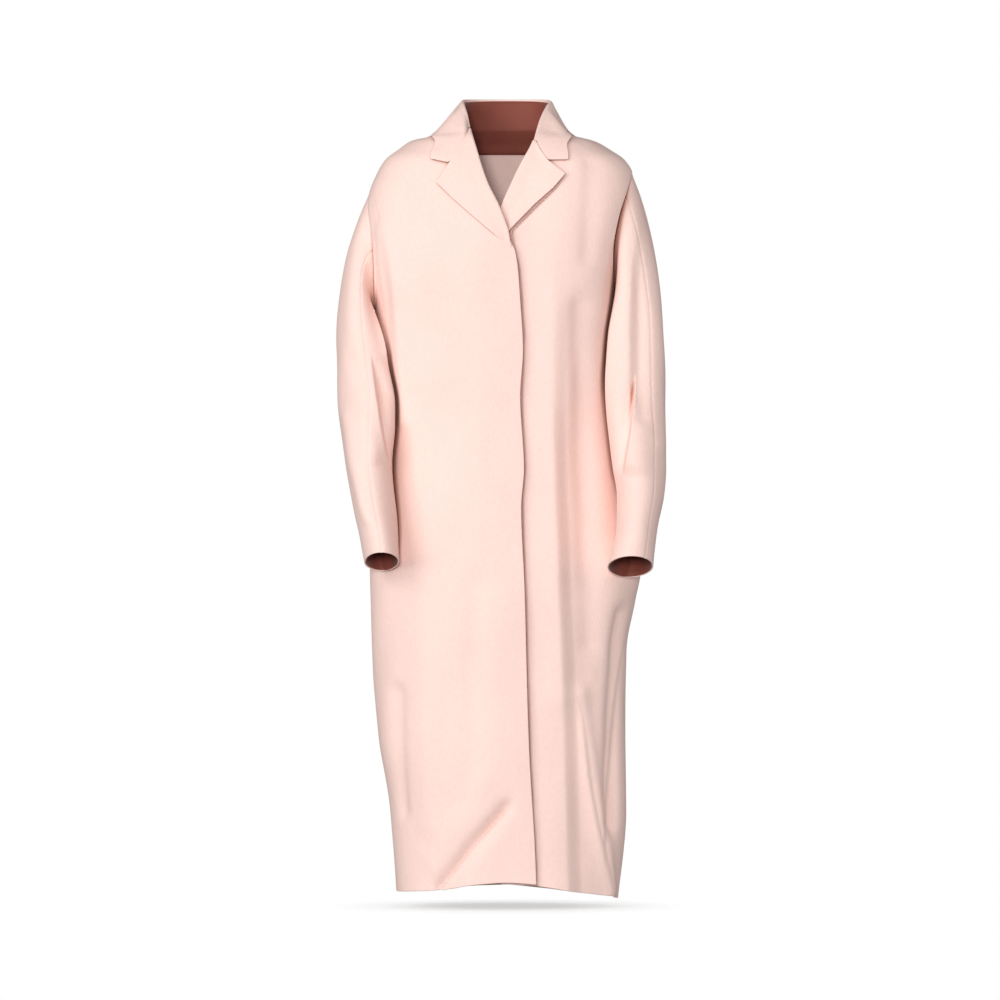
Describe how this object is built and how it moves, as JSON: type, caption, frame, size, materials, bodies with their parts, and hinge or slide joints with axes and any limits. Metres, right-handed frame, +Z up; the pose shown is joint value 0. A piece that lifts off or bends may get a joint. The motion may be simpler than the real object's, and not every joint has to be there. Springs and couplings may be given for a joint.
{
  "type": "single-breasted coat",
  "caption": "Long single-breasted coat in pale pink wool, with notch lapels, hidden fastening, dropped shoulders and straight sleeves, hollow as when worn.",
  "frame": {"origin": "between the shoulders at the height of the neck seam, where the wearer carries the coat", "axes": "+Z up along the coat, -Y towards the front, -X towards the wearer's right"},
  "size_m": [0.5063, 0.331, 1.236],
  "materials": {
    "wool": "matt brushed wool",
    "lining": "smooth dark lining"
  },
  "bodies": {
    "root": {"back": "wool", "front_right": "wool", "front_left": "wool", "lapel_right": "wool", "lapel_left": "wool", "collar": "wool", "collar_stand": "lining", "sleeve_top_right": "wool", "sleeve_under_right": "wool", "sleeve_top_left": "wool", "sleeve_under_left": "wool", "lining_back": "lining", "lining_sleeve_right": "lining", "lining_sleeve_left": "lining"}
  },
  "joints": []
}
